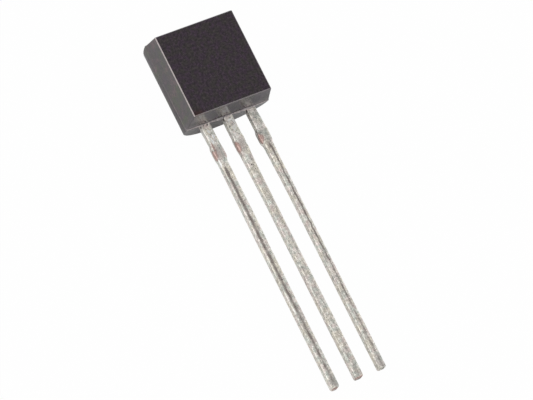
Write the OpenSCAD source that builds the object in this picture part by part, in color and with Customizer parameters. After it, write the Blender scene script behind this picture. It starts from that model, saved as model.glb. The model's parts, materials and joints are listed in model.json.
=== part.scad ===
// Three-lead transistor in a D-shaped moulded case, lying on its round back.
//
// Device axes, used by every module below (millimetres):
//   X  across the flat face, to the right as the flat is looked at
//   Y  from the flat face into the case, towards the round back
//   Z  along the leads, with the underside of the case at Z = 0 and the leads below it
// lay_down() turns the device into its resting place: round back and lead tips on the table,
// flat face up, origin on the table under the middle of the whole part.

/* [Case] */
// Width of the case at the parting plane, which is also the diameter of the round back
case_w = 4.52; // [4.4:0.02:4.7]
// Height of the case at the parting plane
case_h = 4.66; // [4.5:0.02:5.3]
// Thickness of the case, from the flat face to the round back
case_t = 3.61; // [3.5:0.01:4.1]
// Width of the flat face
flat_w = 4.22; // [3.6:0.02:4.34]
// Height of the flat face
flat_h = 4.36; // [4.1:0.02:4.5]
// Depth of the parting plane below the flat face
parting_y = 1.21; // [1.05:0.01:1.36]
// Draft angle of the round half's far end, in degrees
top_draft = 5.5; // [3:0.1:10]
// Draft angle of the round half's end with the leads, in degrees
lead_draft = 7.8; // [3:0.1:10]
// Radius along the four edges of the flat face
flat_edge_r = 0.05; // [0.03:0.01:0.14]
// Radius of the four corners of the case, seen from the front
corner_r = 0.05; // [0.03:0.01:0.3]
// Step between the two halves of the case where the mould halves meet
mould_step = 0.025; // [0.01:0.005:0.05]

/* [Leads] */
// Spacing of the leads, centre to centre
pitch = 1.27; // [1.2:0.01:1.35]
// Thickness of the strip that the leads are stamped from
lead_t = 0.38; // [0.3:0.01:0.5]
// Length of the longest lead below the case
lead_l = 14.25; // [12.7:0.05:16]
// Width of a lead next to the case, down to the dam bar
root_w = 0.50; // [0.46:0.01:0.56]
// Width of a lead below the dam bar
shank_w = 0.41; // [0.38:0.01:0.45]
// Width over the stubs that are left of the dam bar
stub_w = 0.57; // [0.56:0.01:0.64]
// Distance from the case to the dam bar
stub_gap = 1.24; // [1:0.02:1.6]
// Height of the dam bar
stub_h = 0.69; // [0.5:0.01:0.8]
// Length over which a lead narrows below its stubs
taper_l = 0.12; // [0.05:0.01:0.3]
// Bevel at the corners of the cut tips
tip_bevel = 0.06; // [0.02:0.01:0.1]
// Sideways drift of the tip of the left lead, which is bent a little outwards
left_drift = 0.045; // [0:0.005:0.1]
// How much shorter than the left lead the centre lead is cut
centre_trim = 0.06; // [0:0.01:0.2]
// How much shorter than the left lead the right lead is cut
right_trim = 0.08; // [0:0.01:0.2]

/* [Lead frame inside the case] */
// Width of the paddle that carries the chip
paddle_w = 1.42; // [1.3:0.02:1.5]
// Height of the paddle
paddle_h = 1.70; // [1.4:0.02:1.8]
// Distance from the underside of the case to the paddle
paddle_z = 2.05; // [1.9:0.02:2.2]
// Width of a bond post
post_w = 0.66; // [0.6:0.01:0.7]
// Height of a bond post
post_h = 0.95; // [0.8:0.02:1.2]
// Distance from the underside of the case to a bond post
post_z = 2.35; // [2.2:0.02:2.5]
// Gap between the paddle and each bond post
post_gap = 0.28; // [0.2:0.01:0.3]
// Height of the mould locks, the ears that hold a lead in the case
lock_h = 0.36; // [0.2:0.02:0.5]
// How far a mould lock stands out from its lead
lock_out = 0.16; // [0.08:0.01:0.18]
// Distance from the underside of the case to the mould locks
lock_z = 0.95; // [0.7:0.05:1.2]
// Radius of the notch in each side of the paddle
notch_r = 0.13; // [0.08:0.01:0.16]
// Distance of the notches from the top of the paddle
notch_drop = 0.32; // [0.25:0.01:0.4]

/* [Chip and bonds] */
// Width and height of the square chip
die_w = 0.56; // [0.4:0.02:0.8]
// Thickness of the chip
die_t = 0.20; // [0.15:0.01:0.25]
// Thickness of the bond layer under the chip
attach_t = 0.025; // [0.01:0.005:0.04]
// How far the bond layer shows around the chip
attach_out = 0.05; // [0.02:0.01:0.1]
// Diameter of the bond wires
wire_d = 0.038; // [0.025:0.001:0.05]
// Diameter of the bonds at both ends of a wire
bond_d = 0.10; // [0.07:0.01:0.12]
// Rise of a wire's loop above the straight line between its bonds
loop_rise = 0.28; // [0.15:0.01:0.35]
// Distance of the two bonds from the middle of the chip
pad_offset = 0.15; // [0.1:0.01:0.18]

/* [Hidden] */

ARC_FN = 96;               // smoothness of the round back and the notches
EDGE_STEPS = 6;            // flats along each small radius of the case
WIRE_SIDES = 8;            // sides of a bond wire
WIRE_STEPS = 16;           // rings along a bond wire
LEFT = -1;                 // side of a lead or a wire
RIGHT = 1;

EPOXY = [0.10, 0.10, 0.11];
TIN = [0.74, 0.72, 0.68];
SILICON = [0.34, 0.36, 0.42];
SOLDER = [0.66, 0.67, 0.70];
GOLD = [0.90, 0.72, 0.32];

back_y = case_t - case_w / 2;                            // centre of the round back
wall_x = case_w / 2 - mould_step;                        // flat half's side at the parting plane
side_draft = atan((wall_x - flat_w / 2) / parting_y);    // lean of the flat half's sides
end_run = (case_h - flat_h) / 2;                         // from the case's end to the flat
end_draft = atan((end_run - mould_step) / parting_y);    // lean of the flat half's ends
top_run = (case_t - parting_y) * tan(top_draft);         // run of the round half's far end
lead_run = (case_t - parting_y) * tan(lead_draft);       // run of its end with the leads
lead_back_y = parting_y + lead_t;                        // back face of the leads
attach_y = parting_y - attach_t;                         // face of the bond layer
die_y = attach_y - die_t;                                // face of the chip
die_z = paddle_z + paddle_h / 2;                         // middle of the chip
post_x = paddle_w / 2 + post_gap + post_w / 2;           // middle of a bond post
wire_end_z = post_z + post_h / 2;                        // middle of a bond post

// The line from the lead tips to the near end of the round back lies on the table.
rest_angle = atan((case_t - lead_back_y) / (lead_run + lead_l));
lift = case_t * cos(rest_angle) - lead_run * sin(rest_angle);
far_y = max(case_h * cos(rest_angle) + parting_y * sin(rest_angle),
            (case_h - top_run) * cos(rest_angle) + case_t * sin(rest_angle));
near_y = parting_y * sin(rest_angle) - lead_l * cos(rest_angle);

// Turns and lifts the device from its own axes to its resting place.
module lay_down() {
    translate([0, -(far_y + near_y) / 2, lift])
        rotate([rest_angle - 90, 0, 0])
            children();
}

// Extrudes each outline, drawn in X and Z, through the depth from y0 to y1.
module through_depth(y0, y1) {
    for (i = [0:$children - 1])
        translate([0, y1, 0])
            rotate([90, 0, 0])
                linear_extrude(height = y1 - y0)
                    children(i);
}

// Extrudes each outline, drawn in Y and Z, through the width w.
module through_width(w) {
    for (i = [0:$children - 1])
        translate([-w / 2, 0, 0])
            rotate([90, 0, 90])
                linear_extrude(height = w)
                    children(i);
}

// Extrudes each outline, drawn in X and Y, through the height h.
module through_height(h) {
    for (i = [0:$children - 1])
        linear_extrude(height = h)
            children(i);
}

// Points along an arc about c from angle a0 to angle a1.
function arc(c, r, a0, a1) =
    [for (i = [0:EDGE_STEPS]) let (a = a0 + (a1 - a0) * i / EDGE_STEPS) c + r * [cos(a), sin(a)]];

// Half of a rounded edge of the flat face. The face lies along the first axis at depth 0 and
// ends at edge, where a wall leans outwards by draft. The arc runs from the face to the wall.
function edge_round(edge, draft) =
    arc([edge + flat_edge_r * (tan(draft) - 1 / cos(draft)), flat_edge_r],
        flat_edge_r, -90, -draft);

// The flat half of the case from above, in X and Y: its sides lean in towards the flat face.
module flat_half_plan() {
    right = edge_round(flat_w / 2, side_draft);
    left = [for (i = [len(right) - 1:-1:0]) [-right[i].x, right[i].y]];
    polygon(concat(right, [[wall_x, parting_y], [-wall_x, parting_y]], left));
}

// The round half from above, as far as the circle of its round back reaches.
module round_half_plan() {
    intersection() {
        translate([0, back_y])
            circle(d = case_w, $fn = ARC_FN);
        translate([-case_w / 2, parting_y])
            square([case_w, case_t - parting_y]);
    }
}

// The part of the round half next to the parting plane, where the sides are straight.
module straight_side_plan() {
    translate([-case_w / 2, parting_y])
        square([case_w, back_y - parting_y]);
}

// The case from its side, in Y and Z: both halves narrow away from the parting plane, and the
// flat half is smaller there by the mould step.
module side_outline() {
    half = case_h / 2;
    edge = edge_round(flat_h / 2, end_draft);
    top = [for (p = edge) [p.y, half + p.x]];
    bottom = [for (i = [len(edge) - 1:-1:0]) [edge[i].y, half - edge[i].x]];
    polygon(concat(top,
                   [[parting_y, case_h - mould_step], [parting_y, case_h],
                    [case_t, case_h - top_run], [case_t, lead_run],
                    [parting_y, 0], [parting_y, mould_step]],
                   bottom));
}

// The case from the front, in X and Z: a rectangle with its corners rounded.
module front_outline() {
    x = case_w / 2;
    corners = [[x - corner_r, corner_r, -90], [x - corner_r, case_h - corner_r, 0],
               [corner_r - x, case_h - corner_r, 90], [corner_r - x, corner_r, 180]];
    polygon([for (c = corners) each arc([c.x, c.y], corner_r, c.z, c.z + 90)]);
}

// The epoxy block with nothing in it.
module moulding() {
    intersection() {
        through_height(case_h) {
            flat_half_plan();
            straight_side_plan();
            round_half_plan();
        }
        through_width(case_w)
            side_outline();
        through_depth(0, case_t)
            front_outline();
    }
}

// Half widths of a lead as [Z, half width], from the top inside the case down to the tip: the
// neck, the mould locks, the root, the dam bar's stubs, the shank and the bevelled tip.
function lead_stations(top, tip) = let (lock_top = lock_z + lock_h, stub_end = stub_gap + stub_h) [
    [top, root_w / 2],
    [lock_top, root_w / 2],
    [lock_top, root_w / 2 + lock_out],
    [lock_z, root_w / 2 + lock_out],
    [lock_z, root_w / 2],
    [0, root_w / 2],
    [-stub_gap, root_w / 2],
    [-stub_gap, stub_w / 2],
    [-stub_end, stub_w / 2],
    [-stub_end - taper_l, shank_w / 2],
    [tip + tip_bevel, shank_w / 2],
    [tip, shank_w / 2 - tip_bevel]
];

// A lead without its post or paddle, in X and Z. Its tip lies drift to the right of its root,
// and is cut short by trim.
module lead_blank(top, drift = 0, trim = 0) {
    stations = lead_stations(top, trim - lead_l);
    middles = [for (s = stations) drift * max(0, -s.x) / lead_l];
    right = [for (i = [0:len(stations) - 1]) [middles[i] + stations[i].y, stations[i].x]];
    left = [for (i = [len(stations) - 1:-1:0]) [middles[i] - stations[i].y, stations[i].x]];
    polygon(concat(right, left));
}

// A block from x0 to x1 and z0 to z1, drawn in X and Z.
module plate(x0, x1, z0, z1) {
    translate([x0, z0])
        square([x1 - x0, z1 - z0]);
}

// An outer lead, stamped: a blank that ends in a bond post.
module outer_lead(side, drift = 0, trim = 0) {
    color(TIN)
        through_depth(parting_y, lead_back_y) {
            translate([side * pitch, 0])
                lead_blank(wire_end_z, drift, trim);
            plate(side * post_x - post_w / 2, side * post_x + post_w / 2, post_z, post_z + post_h);
        }
}

// The lead on the left as the flat is looked at.
module lead_left() {
    outer_lead(LEFT, drift = -left_drift);
}

// The lead on the right.
module lead_right() {
    outer_lead(RIGHT, trim = right_trim);
}

// The middle lead, stamped: a blank that ends in the paddle, which has a notch in each side.
module lead_centre() {
    color(TIN)
        through_depth(parting_y, lead_back_y) {
            lead_blank(die_z, trim = centre_trim);
            difference() {
                plate(-paddle_w / 2, paddle_w / 2, paddle_z, paddle_z + paddle_h);
                for (x = [LEFT, RIGHT])
                    translate([x * paddle_w / 2, paddle_z + paddle_h - notch_drop])
                        circle(r = notch_r, $fn = ARC_FN);
            }
        }
}

// A square tablet on the middle of the paddle, from y0 to y1.
module tablet(w, y0, y1) {
    through_depth(y0, y1)
        plate(-w / 2, w / 2, die_z - w / 2, die_z + w / 2);
}

// The chip.
module die() {
    color(SILICON)
        tablet(die_w, die_y, attach_y);
}

// The bond layer under the chip, which shows all around it.
module die_attach() {
    color(SOLDER)
        tablet(die_w + 2 * attach_out, attach_y, parting_y);
}

// The middle of a bond wire at t, which runs from 0 on the chip to 1 on the post. It leaves
// both bonds square to them.
function wire_point(p0, p1, t) =
    p0 + (p1 - p0) * (1 - cos(180 * t)) / 2 - [0, loop_rise * sin(180 * t), 0];

// The wire's direction at t.
function wire_way(p0, p1, t) =
    let (d = (p1 - p0) * sin(180 * t) / 2 - [0, loop_rise * cos(180 * t), 0]) d / norm(d);

// The wire's radius at ring i: a bond at each end, plain wire between them.
function wire_radius(i) = (i < 2 || i > WIRE_STEPS - 2 ? bond_d : wire_d) / 2;

// A bond wire with its two bonds, from the chip to the post on that side.
module bond_wire(side) {
    p0 = [side * pad_offset, die_y, die_z + side * pad_offset];
    p1 = [side * post_x, parting_y, wire_end_z];
    across = cross([0, 1, 0], p1 - p0);
    u = across / norm(across);
    rings = [for (i = [0:WIRE_STEPS], k = [0:WIRE_SIDES - 1])
             let (t = i / WIRE_STEPS, a = 360 * k / WIRE_SIDES, v = cross(wire_way(p0, p1, t), u))
             wire_point(p0, p1, t) + wire_radius(i) * (cos(a) * u + sin(a) * v)];
    walls = [for (i = [0:WIRE_STEPS - 1], k = [0:WIRE_SIDES - 1])
             let (n = (k + 1) % WIRE_SIDES, row = i * WIRE_SIDES, next = row + WIRE_SIDES)
             each [[row + k, next + k, row + n], [row + n, next + k, next + n]]];
    first = [for (k = [0:WIRE_SIDES - 1]) k];
    last = [for (k = [WIRE_SIDES - 1:-1:0]) WIRE_STEPS * WIRE_SIDES + k];
    color(GOLD)
        polyhedron(points = rings, faces = concat(walls, [first, last]));
}

module bond_wire_left() {
    bond_wire(LEFT);
}

module bond_wire_right() {
    bond_wire(RIGHT);
}

// Everything that the epoxy was moulded around.
module inserts() {
    lead_left();
    lead_centre();
    lead_right();
    die();
    die_attach();
    bond_wire_left();
    bond_wire_right();
}

// The moulded case, with the room that its inserts take.
module case() {
    color(EPOXY)
        difference() {
            moulding();
            inserts();
        }
}

lay_down() case();
lay_down() lead_left();
lay_down() lead_centre();
lay_down() lead_right();
lay_down() die();
lay_down() die_attach();
lay_down() bond_wire_left();
lay_down() bond_wire_right();
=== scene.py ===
"""Dresses a small three-lead transistor that lies on its round back.

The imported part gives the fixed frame. The moulded case and the three stamped leads get detailed
pieces that stand for their solids. The chip, its bond layer and the two bond wires keep their
solids and get finishes of their own.

Device axes, in which the pieces are modelled (millimetres):
    X  across the flat face, to the right as the flat is looked at
    Y  from the flat face into the case, towards the round back
    Z  along the leads, with the underside of the case at Z = 0 and the leads below it
"""

import json
import logging
import math
from collections.abc import Callable, Iterable, Sequence
from dataclasses import astuple, dataclass, field
from enum import Enum

import bmesh
import bpy
from bmesh.types import BMEdge, BMesh, BMVert
from mathutils import Matrix, Vector, noise


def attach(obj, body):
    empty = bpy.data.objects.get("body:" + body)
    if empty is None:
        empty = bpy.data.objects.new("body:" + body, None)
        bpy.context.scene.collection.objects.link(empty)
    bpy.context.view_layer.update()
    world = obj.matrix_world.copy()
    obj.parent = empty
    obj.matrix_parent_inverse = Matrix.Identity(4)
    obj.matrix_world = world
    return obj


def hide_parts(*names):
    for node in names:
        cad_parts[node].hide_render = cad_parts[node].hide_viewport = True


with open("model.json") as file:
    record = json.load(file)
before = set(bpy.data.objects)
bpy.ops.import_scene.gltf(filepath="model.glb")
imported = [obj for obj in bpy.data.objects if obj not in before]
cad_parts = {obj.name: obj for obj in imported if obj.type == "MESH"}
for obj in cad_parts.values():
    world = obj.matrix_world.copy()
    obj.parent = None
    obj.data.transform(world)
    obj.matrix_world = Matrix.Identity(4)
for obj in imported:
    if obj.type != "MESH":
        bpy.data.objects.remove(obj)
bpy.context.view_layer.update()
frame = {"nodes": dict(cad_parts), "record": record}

log = logging.getLogger("transistor")

MM = 0.001                      # metres in a millimetre
BODY = "root"                   # nothing on the part moves, so there is one body
CASE_H = 4.66                   # height of the case, in millimetres
MERGE = 1e-5                    # points closer than this, in millimetres, are one point
INSIDE = 0.001                  # how much smaller than its solid a piece is, in millimetres
CREASE = math.radians(50)       # edges that turn by more than this stay sharp
FACING = 0.7                    # least part of a normal along the axis that its face looks along
LEVEL_DIGITS = 4                # decimals that tell the heights of a lead's rings apart
WHITE = (1.0, 1.0, 1.0)

Colour = tuple[float, float, float]
Triple = tuple[float, float, float]     # three measures, such as one for each device axis
Quad = tuple[float, float, float, float]
Span = tuple[float, float]              # two values, mostly the ends of a range
Ramp = tuple[Span, Span]                # a range and the range that it is mapped onto
Socket = bpy.types.NodeSocket
Material = bpy.types.Material

# Ranges of a noise that a pattern spreads over: the narrower, the crisper its patches
SOFT: Span = (0.30, 0.70)
FIRM: Span = (0.35, 0.65)
CRISP: Span = (0.38, 0.62)


class Slot(Enum):
    """The record's material slots."""

    EPOXY = "epoxy"
    TIN = "tinned_lead"
    SILICON = "silicon"
    BOND_LAYER = "die_bond"
    GOLD = "gold_wire"


class Mask(Enum):
    """Attributes painted on the pieces' points, each from 0 to 1."""

    WORN_AND_LIT = "worn"                   # epoxy rubbed pale, and painted highlights along edges
    DARK_STREAK = "tarnish"             # dark brown streaks along the tin
    GRIME_AND_SHADE = "grime"                 # grey film on the tin, and painted shade that dims highlights and shadowed sides
    BLUSH = "blush"                 # copper that shows through thin tin
    COPPER = "copper"               # bare copper
    PIT_AND_SHADE = "pit"                     # dark pits, and painted shade in the gaps where the leads meet the case
    GLINT = "glint"                 # painted highlights: bright spots


class Stack(Enum):
    """The device axis along which the rings of a loft are stacked."""

    ALONG_Y = "y"
    ALONG_Z = "z"

    def point(self, x: float, other: float, level: float) -> Vector:
        """Places a point of a ring.

        Args:
            x: Its place across the flat face.
            other: Its place along the ring's second axis.
            level: The ring's place along the stacking axis.

        Returns:
            The point in device axes.
        """
        if self is Stack.ALONG_Y:
            return Vector((x, level, other))
        return Vector((x, other, level))

    def split(self, point: Vector) -> Span:
        """Returns a point's places along the ring's two axes."""
        return (point.x, point.z) if self is Stack.ALONG_Y else (point.x, point.y)


def clamp(value: float, low: float, high: float) -> float:
    """Returns value, kept between low and high."""
    return max(low, min(high, value))


def smooth_step(low: float, high: float, value: float) -> float:
    """Returns 0 below low, 1 above high and a smooth rise between them."""
    t = clamp((value - low) / (high - low), 0.0, 1.0)
    return t * t * (3.0 - 2.0 * t)


def between(stations: Sequence[tuple[float, ...]], at: float) -> tuple[float, ...]:
    """Reads a list of stations at any place between them.

    Args:
        stations: Rows of a place and its values, with the places falling.
        at: The place to read.

    Returns:
        The values there, held beyond the first and the last station.
    """
    if at >= stations[0][0]:
        return stations[0][1:]
    for above, below in zip(stations, stations[1:]):
        if at >= below[0]:
            t = (above[0] - at) / (above[0] - below[0])
            return tuple(a + (b - a) * t for a, b in zip(above[1:], below[1:]))
    return stations[-1][1:]


@dataclass(frozen=True)
class Ripple:
    """Smooth noise that makes a line or a surface uneven."""

    size: float
    wavelength: float               # millimetres
    seed: float                     # picks one of many patterns

    def at(self, point: Vector, seed: float = 0.0) -> float:
        """Reads the noise.

        Args:
            point: Where to read it, in millimetres.
            seed: Moves it on to another pattern.

        Returns:
            A value from about -size to size.
        """
        seed += self.seed
        shift = Vector((seed, -seed, 0.5 * seed))
        return self.size * noise.noise(point / self.wavelength + shift)


@dataclass(frozen=True)
class Rise:
    """A smooth rise between two places on a line."""

    start: float
    end: float
    height: float = 1.0

    def at(self, place: float) -> float:
        """Returns 0 before the start, the whole height past the end and a smooth rise between."""
        return self.height * smooth_step(self.start, self.end, place)


@dataclass(frozen=True)
class Outline:
    """A rectangle with rounded corners, across X and a second axis."""

    left: float
    right: float
    low: float
    high: float
    radius: float

    def shrunk(self, by: float, least_radius: float = 0.01) -> "Outline":
        """Returns an outline that lies inside this one by a distance."""
        return Outline(self.left + by, self.right - by, self.low + by, self.high - by,
                       max(self.radius - by, least_radius))

    def mixed(self, other: "Outline", share: float) -> "Outline":
        """Returns the outline a share of the way from this one to another."""
        return Outline(*(a + (b - a) * share for a, b in zip(astuple(self), astuple(other))))

    def moved(self, x: float, other: float, to: "Outline") -> Span:
        """Carries a point of this outline over to another one.

        The outline is taken as a core rectangle with a round margin, so that the corners of the
        new outline are round too.

        Args:
            x: The point's place across the flat face.
            other: Its place along the second axis.
            to: The outline to carry it to.

        Returns:
            The point's two places on the new outline.
        """
        margin = to.radius / self.radius

        def carry(at: float, low: float, high: float, to_low: float, to_high: float) -> float:
            """Returns one of the two places, from the two sides of both outlines."""
            core = clamp(at, low + self.radius, high - self.radius)
            share = (core - low - self.radius) / (high - low - 2 * self.radius)
            new = to_low + to.radius + share * (to_high - to_low - 2 * to.radius)
            return new + (at - core) * margin

        return (carry(x, self.left, self.right, to.left, to.right),
                carry(other, self.low, self.high, to.low, to.high))


class Loft:
    """Grows a skin ring by ring from one closed loop of edges."""

    def __init__(self, bm: BMesh, loop: Iterable[BMEdge], outline: Outline, stack: Stack) -> None:
        """Takes the loop that the skin starts from.

        Args:
            bm: The mesh that the loop belongs to.
            loop: The closed loop's edges.
            outline: The outline that the loop follows.
            stack: The axis that the rings are stacked along.
        """
        self.bm = bm
        self.edges = list(loop)
        self.outline = outline
        self.stack = stack
        self.place = bm.verts.layers.int.new("place")
        points = sorted({v for e in self.edges for v in e.verts}, key=lambda v: v.index)
        self.start: list[Span] = []
        for number, vert in enumerate(points):
            vert[self.place] = number
            self.start.append(stack.split(vert.co))

    def ring(self, outline: Outline, level: float,
             nudge: Callable[[float, float], Vector] | None = None) -> None:
        """Adds a ring and joins it to the last one.

        Args:
            outline: The ring's outline.
            level: Its place along the stacking axis.
            nudge: Gives a shift for a point from its two places on the first ring.
        """
        made = bmesh.ops.extrude_edge_only(self.bm, edges=self.edges)["geom"]
        points = [g for g in made if isinstance(g, BMVert)]
        new = set(points)
        self.edges = [g for g in made if isinstance(g, BMEdge) and new.issuperset(g.verts)]
        for vert in points:
            first = self.start[vert[self.place]]
            x, other = self.outline.moved(*first, outline)
            vert.co = self.stack.point(x, other, level)
            if nudge is not None:
                vert.co += nudge(*first)

    def close(self) -> None:
        """Fills the last ring."""
        bmesh.ops.contextual_create(self.bm, geom=self.edges)


@dataclass(frozen=True)
class Resting:
    """Where the device's own axes lie while the part rests on its round back."""

    matrix: Matrix

    @classmethod
    def from_record(cls, record: dict, case_h: float) -> "Resting":
        """Reads the resting place from the mounts.

        Args:
            record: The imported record.
            case_h: Height of the case, in millimetres.

        Returns:
            The resting place, whose matrix takes device millimetres to metres in the frame.
        """
        mounts = {m["name"]: m for m in record["mounts"]}
        into_case = -Vector(mounts["flat_face"]["axis"])
        up_leads = -Vector(mounts["centre_lead"]["axis"])
        across = into_case.cross(up_leads)
        turn = Matrix((across, into_case, up_leads)).transposed().to_4x4()
        underside = Vector(mounts["flat_face"]["pos_m"]) - up_leads * case_h / 2 * MM
        return cls(Matrix.Translation(underside) @ turn @ Matrix.Scale(MM, 4))

    def device_box(self, node: str) -> tuple[Vector, Vector]:
        """Measures a CAD node along the device axes.

        Args:
            node: The node's name.

        Returns:
            The lowest and the highest corner of its box, in millimetres.
        """
        back = self.matrix.inverted()
        points = [back @ v.co for v in frame["nodes"][node].data.vertices]
        low = Vector([min(p[i] for p in points) for i in range(3)])
        high = Vector([max(p[i] for p in points) for i in range(3)])
        return low, high


@dataclass(frozen=True)
class Patch:
    """An ellipsoid in device axes, inside which a tint fades towards the skin."""

    middle: Triple
    radii: Triple
    core: float = 0.2               # share of the radii up to which the tint is whole


# Vector Math operations that give a value
MEASURES = ("LENGTH", "DISTANCE", "DOT_PRODUCT")


class Graph:
    """A node tree, with short calls to make and join its nodes."""

    def __init__(self, owner: Material | bpy.types.World) -> None:
        """Starts an empty tree.

        Args:
            owner: The material or world that the tree belongs to.
        """
        owner.use_nodes = True
        self.owner = owner
        self.tree = owner.node_tree
        self.tree.nodes.clear()
        self.point: Socket | None = None

    @classmethod
    def material(cls, name: str, resting: Resting) -> "Graph":
        """Starts the tree of a new material.

        Args:
            name: The material's name.
            resting: The device's resting place.

        Returns:
            The tree, whose point is the shaded one in device axes, in millimetres.
        """
        g = cls(bpy.data.materials.new(name))
        here = g.add("ShaderNodeTexCoord").outputs["Object"]
        spot, turn, size = resting.matrix.decompose()
        g.point = g.within(here, spot, size, turn.to_euler())
        return g

    def add(self, kind: str, inputs: dict | None = None, **settings: object) -> bpy.types.Node:
        """Makes a node.

        Args:
            kind: Blender's name for the node's type.
            inputs: Values or sockets for its inputs, by the input's name or number.
            settings: The node's own properties.

        Returns:
            The new node.
        """
        made = self.tree.nodes.new(kind)
        for name, value in settings.items():
            setattr(made, name, value)
        for key, value in (inputs or {}).items():
            self.feed(made.inputs[key], value)
        return made

    def feed(self, socket: Socket, value: object) -> None:
        """Joins a socket to an input, or sets the input's own value.

        Args:
            socket: The input.
            value: The socket or the value.
        """
        if isinstance(value, Socket):
            self.tree.links.new(value, socket)
        elif socket.type == "RGBA":
            socket.default_value = (*value, 1.0)
        else:
            socket.default_value = value

    def within(self, point: Socket, middle: Sequence[float], size: Sequence[float] = (1, 1, 1),
               turn: Sequence[float] = (0, 0, 0)) -> Socket:
        """Takes a point into other axes.

        Args:
            point: The point.
            middle: Origin of those axes.
            size: Length of a unit along each of them.
            turn: Their turn, in radians.

        Returns:
            The point in those axes.
        """
        inputs = {"Vector": point, "Location": middle, "Rotation": turn, "Scale": size}
        return self.add("ShaderNodeMapping", inputs, vector_type="TEXTURE").outputs["Vector"]

    def stretched(self, scale: Triple) -> Socket:
        """Returns the tree's point with each axis multiplied, which sets a pattern's density."""
        inputs = {"Vector": self.point, "Scale": scale}
        return self.add("ShaderNodeMapping", inputs).outputs["Vector"]

    def noise(self, scale: float, detail: float = 2.0, roughness: float = 0.5,
              point: Socket | None = None) -> Socket:
        """Makes smooth noise.

        Args:
            scale: Features in each unit of the point.
            detail: Number of finer octaves.
            roughness: Strength of the finer octaves.
            point: Where to read it, or none for the tree's point.

        Returns:
            The noise, from 0 to 1.
        """
        inputs = {"Vector": self.point if point is None else point, "Scale": scale,
                  "Detail": detail, "Roughness": roughness}
        return self.add("ShaderNodeTexNoise", inputs).outputs["Fac"]

    def reach(self, value: Socket, span: Span, to: Span = (0.0, 1.0)) -> Socket:
        """Maps one range smoothly onto another.

        Args:
            value: The value to map.
            span: The range that it is in.
            to: The range that it is mapped onto.

        Returns:
            The mapped value, held beyond the ends of the range.
        """
        inputs = {"Value": value, "From Min": span[0], "From Max": span[1],
                  "To Min": to[0], "To Max": to[1]}
        node = self.add("ShaderNodeMapRange", inputs, interpolation_type="SMOOTHSTEP")
        return node.outputs["Result"]

    def place(self, axis: str) -> Socket:
        """Returns the place of the tree's point along one axis, X, Y or Z."""
        return self.add("ShaderNodeSeparateXYZ", {"Vector": self.point}).outputs[axis]

    def near(self, patch: Patch) -> Socket:
        """Returns 1 in the core of a patch and less towards its skin, where it is 0."""
        away = self.vector("LENGTH", self.within(self.point, patch.middle, patch.radii))
        return self.reach(away, (patch.core, 1.0), (1.0, 0.0))

    def calc(self, operation: str, *terms: object) -> Socket:
        """Returns a Math node's result for values or sockets."""
        inputs = dict(enumerate(terms))
        return self.add("ShaderNodeMath", inputs, operation=operation).outputs["Value"]

    def product(self, first: object, *others: object) -> Socket:
        """Returns the product of values or sockets."""
        for other in others:
            first = self.calc("MULTIPLY", first, other)
        return first

    def vector(self, operation: str, *terms: object) -> Socket:
        """Returns a Vector Math node's result, which a measure of vectors gives as a value."""
        node = self.add("ShaderNodeVectorMath", dict(enumerate(terms)), operation=operation)
        return node.outputs["Value" if operation in MEASURES else "Vector"]

    def scaled(self, colour: Socket, by: Socket) -> Socket:
        """Returns a colour multiplied by a value."""
        return self.vector("MULTIPLY", colour, by)

    def mask(self, name: Mask) -> Socket:
        """Returns a painted mask."""
        return self.add("ShaderNodeAttribute", attribute_name=name.value).outputs["Fac"]

    def blend(self, share: object, a: object, b: object) -> Socket:
        """Mixes two colours.

        Args:
            share: How much of b shows, from 0 to 1.
            a: The first colour or socket.
            b: The second colour or socket.

        Returns:
            The mixed colour.
        """
        node = self.add("ShaderNodeMix", data_type="RGBA")
        for number, value in ((0, share), (6, a), (7, b)):
            self.feed(node.inputs[number], value)
        return node.outputs[2]

    def bump(self, height: Socket, depth: float) -> Socket:
        """Returns the normal of a relief from 0 to 1, whose depth is in millimetres."""
        inputs = {"Height": height, "Distance": depth * MM}
        return self.add("ShaderNodeBump", inputs).outputs["Normal"]

    def surface(self, **inputs: object) -> Material:
        """Ends the tree in the standard surface shader.

        Args:
            inputs: Values or sockets for the shader, with _ for the spaces in their names.

        Returns:
            The finished material.
        """
        named = {key.replace("_", " "): value for key, value in inputs.items()}
        shader = self.add("ShaderNodeBsdfPrincipled", named)
        self.add("ShaderNodeOutputMaterial", {"Surface": shader.outputs["BSDF"]})
        return self.owner


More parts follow.
